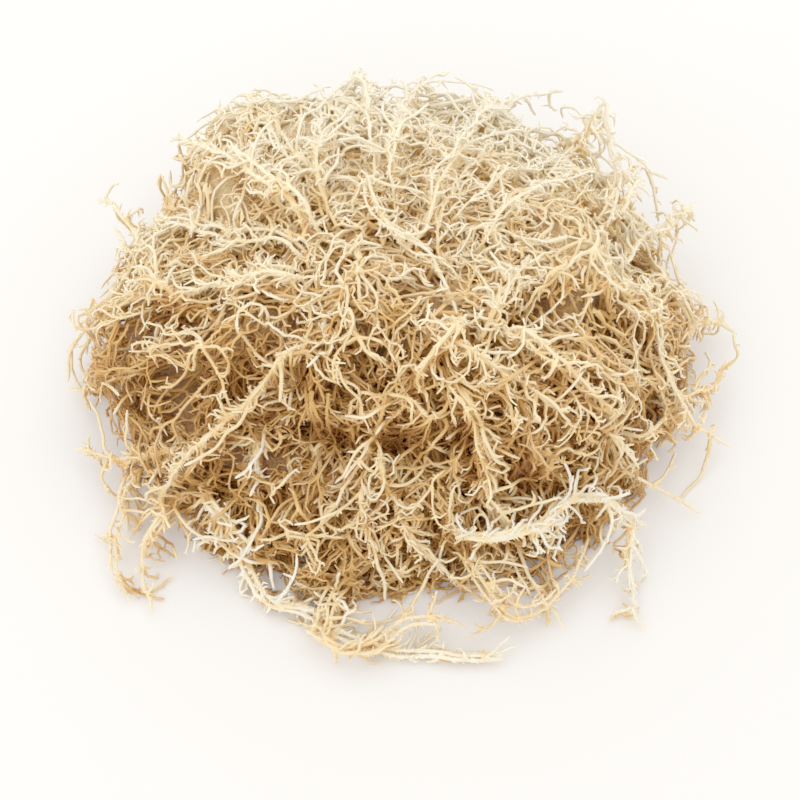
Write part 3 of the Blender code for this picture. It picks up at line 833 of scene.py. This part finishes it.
def piece_of(name, meshes, finish, body="root"):
    """One piece from several meshes of strands, with nothing below the surface that the heap lies on."""
    whole = bmesh.new()
    for mesh in meshes:
        whole.from_mesh(mesh)
    made = bpy.data.meshes.new(name)
    whole.to_mesh(made)
    whole.free()
    heights = np.array([corner.co.z for corner in made.vertices])
    for index in np.flatnonzero(heights < LOWEST * METRES).tolist():
        made.vertices[index].co.z = LOWEST * METRES
    made.materials.append(finish)
    made.polygons.foreach_set("material_index", np.zeros(len(made.polygons), np.int32))
    piece = in_scene(name, made)
    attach(piece, body)
    return piece


# Finishes

def ranged_value(tree, source, low, high, to_low=0.0, to_high=1.0):
    return add_node(
        tree, "ShaderNodeMapRange", Value=source, From_Min=low, From_Max=high, To_Min=to_low, To_Max=to_high
    ).outputs["Result"]


def attribute_value(tree, name):
    return add_node(tree, "ShaderNodeAttribute", {"attribute_name": name}).outputs["Fac"]


def noise_value(tree, place, scale, detail=2.0, output="Fac"):
    return add_node(tree, "ShaderNodeTexNoise", Vector=place, Scale=scale, Detail=detail).outputs[output]


def mixed_colour(tree, factor, first, second, blend="MIX"):
    node = add_node(tree, "ShaderNodeMix", {"data_type": "RGBA", "blend_type": blend})
    sockets = node.inputs["Factor"], node.inputs[6], node.inputs[7]
    for socket, source in zip(sockets, (factor, first, second)):
        if isinstance(source, bpy.types.NodeSocket):
            tree.links.new(source, socket)
        else:
            socket.default_value = source
    return node.outputs[2]


def bleach_and_shade_ramp(tree, source):
    """The colour of seaweed by its bleaching and its painted light and shade."""
    ramp = add_node(tree, "ShaderNodeValToRGB", Fac=source)
    stops = ramp.color_ramp.elements
    while len(stops) < len(BLEACH_AND_SHADE_COLOURS):
        stops.new(0.5)
    for stop, (place, colour) in zip(stops, BLEACH_AND_SHADE_COLOURS):
        stop.position, stop.color = place, colour
    return ramp.outputs["Color"]


def dry_fibre(name):
    """A new finish that lets light a little way in, as its tree, its surface and the places on a piece."""
    made = bpy.data.materials.new(name)
    made.use_nodes = True
    surface = made.node_tree.nodes["Principled BSDF"]
    surface.subsurface_method = "BURLEY"
    surface.inputs["Subsurface Weight"].default_value = 1.0
    surface.inputs["Subsurface Radius"].default_value = (1.0, 1.0, 1.0)
    surface.inputs["Subsurface Scale"].default_value = LIGHT_DEPTH
    place = add_node(made.node_tree, "ShaderNodeTexCoord").outputs["Object"]
    return made, made.node_tree, surface, place


def add_relief(tree, surface, height, strength, depth):
    bump = add_node(tree, "ShaderNodeBump", Strength=strength, Distance=depth, Height=height)
    tree.links.new(bump.outputs["Normal"], surface.inputs["Normal"])


def seaweed_finish(name, freckles):
    """Dry seaweed: pale at the tips, with painted light and shade that make it paler on top and on the lit
    side and more amber deep in the heap, which also stands for its bleaching; slightly see-through.
    """
    made, tree, surface, place = dry_fibre(name)
    mottle = noise_value(tree, place, MOTTLE_SCALE, 3.0)
    patches = noise_value(tree, place, PATCH_SCALE)
    tip, bleach_and_light, tone = (attribute_value(tree, name) for name in ("tip", "bleached", "tone"))
    # Painted light and shade: the colour follows the bleaching and painted light value
    colour = bleach_and_shade_ramp(tree, bleach_and_light)
    towards_tip = ranged_value(tree, tip, *PALE_SHARES, 0.0, PALEST_TIP)
    paler = math_value(tree, "MULTIPLY", towards_tip, ranged_value(tree, bleach_and_light, *PALE_FROM))
    colour = mixed_colour(tree, paler, colour, TIP_COLOUR)
    toned = ranged_value(tree, tone, 0.0, 1.0, *TONE_VALUES)
    grey = add_node(tree, "ShaderNodeCombineColor", Red=toned, Green=toned, Blue=toned).outputs[0]
    colour = mixed_colour(tree, 1.0, colour, grey, "MULTIPLY")
    mottled = ranged_value(tree, mottle, *MOTTLE_RANGE, 0.0, freckles)
    colour = mixed_colour(tree, mottled, colour, MOTTLE_COLOUR, "MULTIPLY")
    patched = ranged_value(tree, patches, *PATCH_RANGE, 0.0, PATCH_STRENGTH)
    colour = mixed_colour(tree, patched, colour, PATCH_COLOUR, "MULTIPLY")
    tree.links.new(colour, surface.inputs["Base Color"])
    tree.links.new(ranged_value(tree, mottle, *ROUGH_RANGE, *ROUGHNESS), surface.inputs["Roughness"])
    surface.inputs["Specular IOR Level"].default_value = SHINE
    add_relief(tree, surface, noise_value(tree, place, WRINKLE_SCALE), WRINKLE_STRENGTH, WRINKLE_DEPTH)
    return made


# The heap

def sector_of(points):
    """Which of the mat's sectors each point lies in, by its direction from the heap's middle."""
    angles = np.degrees(np.arctan2(points[:, 1], points[:, 0])) % 360
    return (angles * len(MAT_SECTORS) / 360).astype(int) % len(MAT_SECTORS)


def mat_axes(layer, box, rng, step=AXIS_STEP, top=MAT_TOP_SHARE):
    """The main axes of the plants in one layer of the mat, spread over the heap, many of them in ropes."""
    wanted, plants, arms, together, lengths, scatter, thickness, pale = layer
    up = HIGHEST_START * ((np.arange(plants) + rng.random(plants)) / plants) ** top
    angle = np.arange(plants) * GOLDEN_ANGLE + rng.normal(0, START_SCATTER, plants)
    across = np.sqrt(1 - up * up)
    directions = np.stack((across * np.cos(angle), across * np.sin(angle), up), axis=1)
    wanted = wanted + TIGHTER * (1 - wanted) * lit_side_share(at_level(directions, 1.0))
    roots = at_level(directions, wanted + rng.normal(0, LEVEL_SPREAD, plants))
    roots, wanted = np.repeat(roots, arms, axis=0), np.repeat(wanted, arms)
    over = outward(roots)
    downhill = unit(over * over[:, 2:] - UP + DOWNHILL_SCATTER * rng.normal(size=roots.shape))
    turn = 2 * math.pi * np.arange(len(roots)) / arms + rng.normal(0, scatter, len(roots))
    turn = turn[:, None]
    headings = np.cos(turn) * downhill + np.sin(turn) * np.cross(over, downhill)
    sizes = rng.uniform(*lengths, len(roots))
    points, counts = grow(roots, headings, sizes, step, wanted, MAT_HABIT, box, rng)
    sizes = rng.uniform(*thickness, len(roots))
    pales = np.full(len(roots), pale)
    leaders = Strands(points, counts, sizes, sector_of(roots), rng.random(len(roots)), pales)
    return joined(leaders, *(beside(leaders, ROPE_SPREAD, box, rng) for _ in range(together - 1)))


def beside(leaders, spread, box, rng):
    """Strands that run along others, swaying about them."""
    count, most = leaders.points.shape[:2]
    shift = rng.normal(0, spread, (count, 1, 3))
    places = leaders.points / ROPE_SWAY_SIZE + rng.uniform(0, NOISE_REACH, (count, 1, 3))
    sway = smooth_vectors(places.reshape(-1, 3)).reshape(count, most, 3)
    points = np.clip(leaders.points + shift + spread * sway, box[0], box[1])
    counts = np.maximum(3, (leaders.counts * rng.uniform(*ROPE_LENGTHS, count)).astype(int))
    sizes = leaders.thickness * rng.uniform(*ROPE_THICKNESS, count)
    tones = np.clip(leaders.tones + rng.normal(0, TONE_SPREAD, count), 0, 1)
    return Strands(points, counts, sizes, leaders.owners, tones, leaders.pales)


def grow_mat(box, rods):
    """The matted middle: plants in layers from the core out to the surface."""
    rng = np.random.default_rng(MAT_SEED)
    owners = sector_of(np.array([line[0] for line in rods]))
    packed = from_rods(rods, AXIS_STEP, PACKED_RADIUS, owners, PACKED_PALE, rng)
    layers = [mat_axes(layer, box, rng) for layer in MAT_LAYERS]
    web = mat_axes(WEB_LAYER, box, rng, DEEP_STEP, WEB_TOP_SHARE)
    web = picked(web, lit_side_share(web.points[:, 0]) > WEB_SUN)
    deep = joined(web, mat_axes(DEEP_LAYER, box, rng, DEEP_STEP))
    axes = joined(packed, *layers)
    stars = mat_axes(STAR_LAYER, box, rng)
    forks = joined(
        side_strands(axes, MAT_FORKS, FORK_STEP, FORK_HABIT, box, rng),
        side_strands(stars, STAR_FORKS, FORK_STEP, FORK_HABIT, box, rng),
    )
    twigs = side_strands(joined(axes, stars, forks), MAT_TWIGS, TWIG_STEP, TWIG_HABIT, box, rng)
    return joined(axes, hanging_strands(box)), stars, forks, twigs, deep


def hanging_strands(box):
    """The long strands that hang side by side down the front."""
    hanging = mat_axes(HANGING_LAYER, box, np.random.default_rng(HANGING_SEED))
    in_front = np.isin(hanging.owners, [MAT_SECTORS.index(side) for side in HANGING_SIDES])
    return picked(hanging, in_front & (hanging.points[:, 0, 2] > HANGING_ABOVE * HEAP_HEIGHT))


def build_mat(groups, cover, finish, tree):
    """One piece for each sector of the mat."""
    kinds = ((3, AXIS_SPINES), (4, STAR_SPINES), (3, FORK_SPINES), (3, NO_SPINES), (3, NO_SPINES))
    for number, sector in enumerate(MAT_SECTORS):
        meshes = []
        for i, (group, (sides, spines)) in enumerate(zip(groups, kinds)):
            mine = picked(group, group.owners == number)
            meshes.append(drawn(f"{sector}_{i}", mine, sides, spines, finish, tree, cover, 10 * number + i))
        piece = piece_of("mat_" + sector, meshes, finish)
        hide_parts("matted_tangle")


def grow_frond(name, lines, box, number):
    """One frond: its packed axis and branches drawn fine, with more forks, twigs and dense spines."""
    rng = np.random.default_rng(FROND_SEED + number)
    rods = sorted(lines, key=len, reverse=True)
    radius, rope, pale, spread = AXIS_RADIUS, FROND_ROPE, FROND_PALE, FROND_ROPE_SPREAD
    if name in STOUT_FRONDS:
        radius, rope, pale, spread = STOUT_RADIUS, STOUT_ROPE, STOUT_PALE, STOUT_SPREAD
    axis = from_rods(rods[:1], FROND_STEP, radius, np.zeros(1, int), pale, rng)
    spread *= 1 + LOOSER_ON_TOP * float(lit_side_share(axis.points[0]).mean())
    axes = joined(axis, *(beside(axis, spread, box, rng) for _ in range(rope)))
    forks = side_strands(axes, FROND_FORKS, FROND_FORK_STEP, FORK_HABIT, box, rng, FROND_FORK_RISE)
    if len(rods) > 1:
        branches = from_rods(rods[1:], FROND_STEP, BRANCH_RADIUS, np.zeros(len(rods) - 1, int), pale, rng)
        forks = joined(branches, forks)
    main = joined(axes, forks)
    twigs = side_strands(main, FROND_TWIGS, FROND_TWIG_STEP, TWIG_HABIT, box, rng, FROND_TWIG_RISE)
    return axes, forks, twigs


def build_frond(name, groups, cover, finish, tree, number):
    """The piece that draws one frond."""
    kinds = (("_axis", 5, FROND_SPINES), ("_forks", 4, FORK_SPINES), ("_twigs", 3, NO_SPINES))
    meshes = [
        drawn(name + ending, group, sides, spines, finish, tree, cover, len(kinds) * number + i)
        for i, (group, (ending, sides, spines)) in enumerate(zip(groups, kinds))
    ]
    piece = piece_of("fine_" + name, meshes, finish)
    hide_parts(name)


def core_directions():
    """Directions of the core's points from the middle of the foot: rings from low to high, then the top."""
    turns = np.linspace(0, 2 * math.pi, CORE_AROUND, endpoint=False)
    rises = np.linspace(0.0, math.pi / 2, CORE_UP + 1)[:-1]
    around, rise = np.meshgrid(turns, rises)
    rings = np.stack((np.cos(around) * np.cos(rise), np.sin(around) * np.cos(rise), np.sin(rise)), axis=2)
    return np.concatenate((rings.reshape(-1, 3), [UP]))


def core_faces():
    """The faces between the core's rings, up to its top, and under it, around the last point."""
    faces = []
    for i in range(CORE_UP - 1):
        for k in range(CORE_AROUND):
            a, b = i * CORE_AROUND + k, i * CORE_AROUND + (k + 1) % CORE_AROUND
            faces.append((a, b, b + CORE_AROUND, a + CORE_AROUND))
    last, top = (CORE_UP - 1) * CORE_AROUND, CORE_UP * CORE_AROUND
    faces += [(last + k, last + (k + 1) % CORE_AROUND, top) for k in range(CORE_AROUND)]
    faces += [((k + 1) % CORE_AROUND, k, top + 1) for k in range(CORE_AROUND)]
    return faces


def build_core(cover, finish):
    """The dense middle that the strands stand out of: high on top and deep lower down, painted pale on top
    and dark lower down as painted light and shade.
    """
    directions = core_directions()
    surface = at_level(directions, 1.0)
    upward = np.minimum(1, CORE_TOP_GAIN * outward(surface)[:, 2])
    sun = np.minimum(1, CORE_SUN_GAIN * lit_side_share(surface)) * upward
    rough = sum(depth * smooth_noise(directions * many) for depth, many in CORE_LUMPS)
    points = at_level(directions, CORE_LEVEL + CORE_HIGHER * sun + rough * (1 - CORE_SMOOTHER * sun))
    points = np.concatenate((points, [np.zeros(3)]))
    points[:, 2] += FLOOR_GAP
    mesh = bpy.data.meshes.new("mat_core")
    mesh.from_pydata(((points + FOOT_MIDDLE) * METRES).tolist(), [], core_faces())
    mesh.shade_smooth()
    mesh.materials.append(finish)
    # Painted shade: the core is painted darker lower down and away from the lit side
    shade = CORE_SHADE + (1 - CORE_SHADE) * np.append(sun, 0.0)
    give_values(mesh, {"bleached": shade * bleached(points, cover, 0.0)})
    piece = in_scene("mat_core", mesh)
    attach(piece, "root")
    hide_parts("matted_tangle")


def core_finish():
    """The matted strands deep in the heap, too fine to model: a web of straw lines over hollows painted
    dark as shade.
    """
    made, tree, surface, place = dry_fibre("matted_straw")
    swing = noise_value(tree, place, WEB_BEND_SCALE, output="Color")
    bend = vector_value(tree, "SCALE", swing, Scale=WEB_BEND)
    bent = vector_value(tree, "ADD", place, Vector_001=bend)
    edges = {"feature": "DISTANCE_TO_EDGE"}
    webs = []
    for scale, width in WEB_LAYERS:
        cells = add_node(tree, "ShaderNodeTexVoronoi", edges, Vector=bent, Scale=scale)
        webs.append(ranged_value(tree, cells.outputs["Distance"], width, 0.0))
    lines = math_value(tree, "MAXIMUM", *webs)
    bleach_and_light = attribute_value(tree, "bleached")
    # Painted shade: the hollows between the straw lines are painted dark
    gap_shade = mixed_colour(tree, bleach_and_light, PAINTED_GAP_SHADE_COLOUR, PAINTED_GAP_SHADE_LIT_COLOUR)
    straw = bleach_and_shade_ramp(tree, bleach_and_light)
    tree.links.new(mixed_colour(tree, lines, gap_shade, straw), surface.inputs["Base Color"])
    surface.inputs["Roughness"].default_value = CORE_ROUGHNESS
    add_relief(tree, surface, lines, 1.0, WEB_RELIEF)
    return made


# The studio

def area_light(name, place, size, strength, colour):
    """A soft light that faces the heap."""
    lamp = bpy.data.lights.new(name, "AREA")
    lamp.size, lamp.energy, lamp.color = size, strength, colour
    light = in_scene(name, lamp)
    light.location = place
    light.rotation_euler = (-Vector(place)).to_track_quat("-Z", "Y").to_euler()


def build_studio():
    """A pale floor and soft light from above and behind, with a gentle fill from the front."""
    mesh = bpy.data.meshes.new("floor")
    corners = [(FLOOR_SIZE * x, FLOOR_SIZE * y, 0.0) for x, y in ((-1, -1), (1, -1), (1, 1), (-1, 1))]
    mesh.from_pydata(corners, [], [(0, 1, 2, 3)])
    floor = in_scene("floor", mesh)
    pale = bpy.data.materials.new("pale_floor")
    pale.use_nodes = True
    surface = pale.node_tree.nodes["Principled BSDF"]
    surface.inputs["Base Color"].default_value = FLOOR_COLOUR
    surface.inputs["Roughness"].default_value = FLOOR_ROUGHNESS
    mesh.materials.append(pale)
    area_light("key", *KEY_LIGHT)
    area_light("fill", *FILL_LIGHT)
    world = bpy.data.worlds.new("studio")
    world.use_nodes = True
    sky = world.node_tree.nodes["Background"]
    sky.inputs["Color"].default_value = SKY_COLOUR
    sky.inputs["Strength"].default_value = SKY_STRENGTH
    bpy.context.scene.world = world
    bpy.context.scene.view_settings.view_transform = "Standard"
    bpy.context.scene.view_settings.gamma = PICTURE_GAMMA


def build_camera():
    """The photograph's view: looking along +Y, steeply down."""
    target = Vector((CAMERA_TARGET + FOOT_MIDDLE) * METRES)
    back = Vector((0.0, -math.cos(CAMERA_ELEVATION), math.sin(CAMERA_ELEVATION)))
    lens = bpy.data.cameras.new("camera")
    lens.lens = CAMERA_LENS
    camera = in_scene("camera", lens)
    camera.location = target + back * CAMERA_DISTANCE * METRES
    camera.rotation_euler = (-back).to_track_quat("-Z", "Y").to_euler()
    bpy.context.scene.camera = camera


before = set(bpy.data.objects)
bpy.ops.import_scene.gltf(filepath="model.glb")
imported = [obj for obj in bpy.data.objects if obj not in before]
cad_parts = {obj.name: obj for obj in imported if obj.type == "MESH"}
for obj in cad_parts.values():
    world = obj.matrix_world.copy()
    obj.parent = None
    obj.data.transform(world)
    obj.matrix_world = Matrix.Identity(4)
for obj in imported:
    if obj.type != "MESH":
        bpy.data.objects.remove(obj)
model_low, model_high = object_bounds()


def main():
    noise.seed_set(NOISE_SEED)
    box = (
        np.array(model_low) / METRES - FOOT_MIDDLE + BOX_MARGIN,
        np.array(model_high) / METRES - FOOT_MIDDLE - BOX_MARGIN,
    )
    box[0][2] = LOWEST_STRAND
    rods = {name: rods_of(node) for name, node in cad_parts.items()}
    tree = strand_tree()
    straw = seaweed_finish("dried_straw_seaweed", STRAW_FRECKLES)
    cream = seaweed_finish("bleached_cream_seaweed", CREAM_FRECKLES)
    mat = grow_mat(box, rods.pop("matted_tangle"))
    fronds = {
        name: grow_frond(name, rods[name], box, number) for number, name in enumerate(sorted(rods))
    }
    cover = Cover([*mat, *(group for frond in fronds.values() for group in frond)], box)
    build_core(cover, core_finish())
    build_mat(mat, cover, straw, tree)
    for number, (name, frond) in enumerate(fronds.items()):
        build_frond(name, frond, cover, cream, tree, number)
    build_studio()
    build_camera()


main()
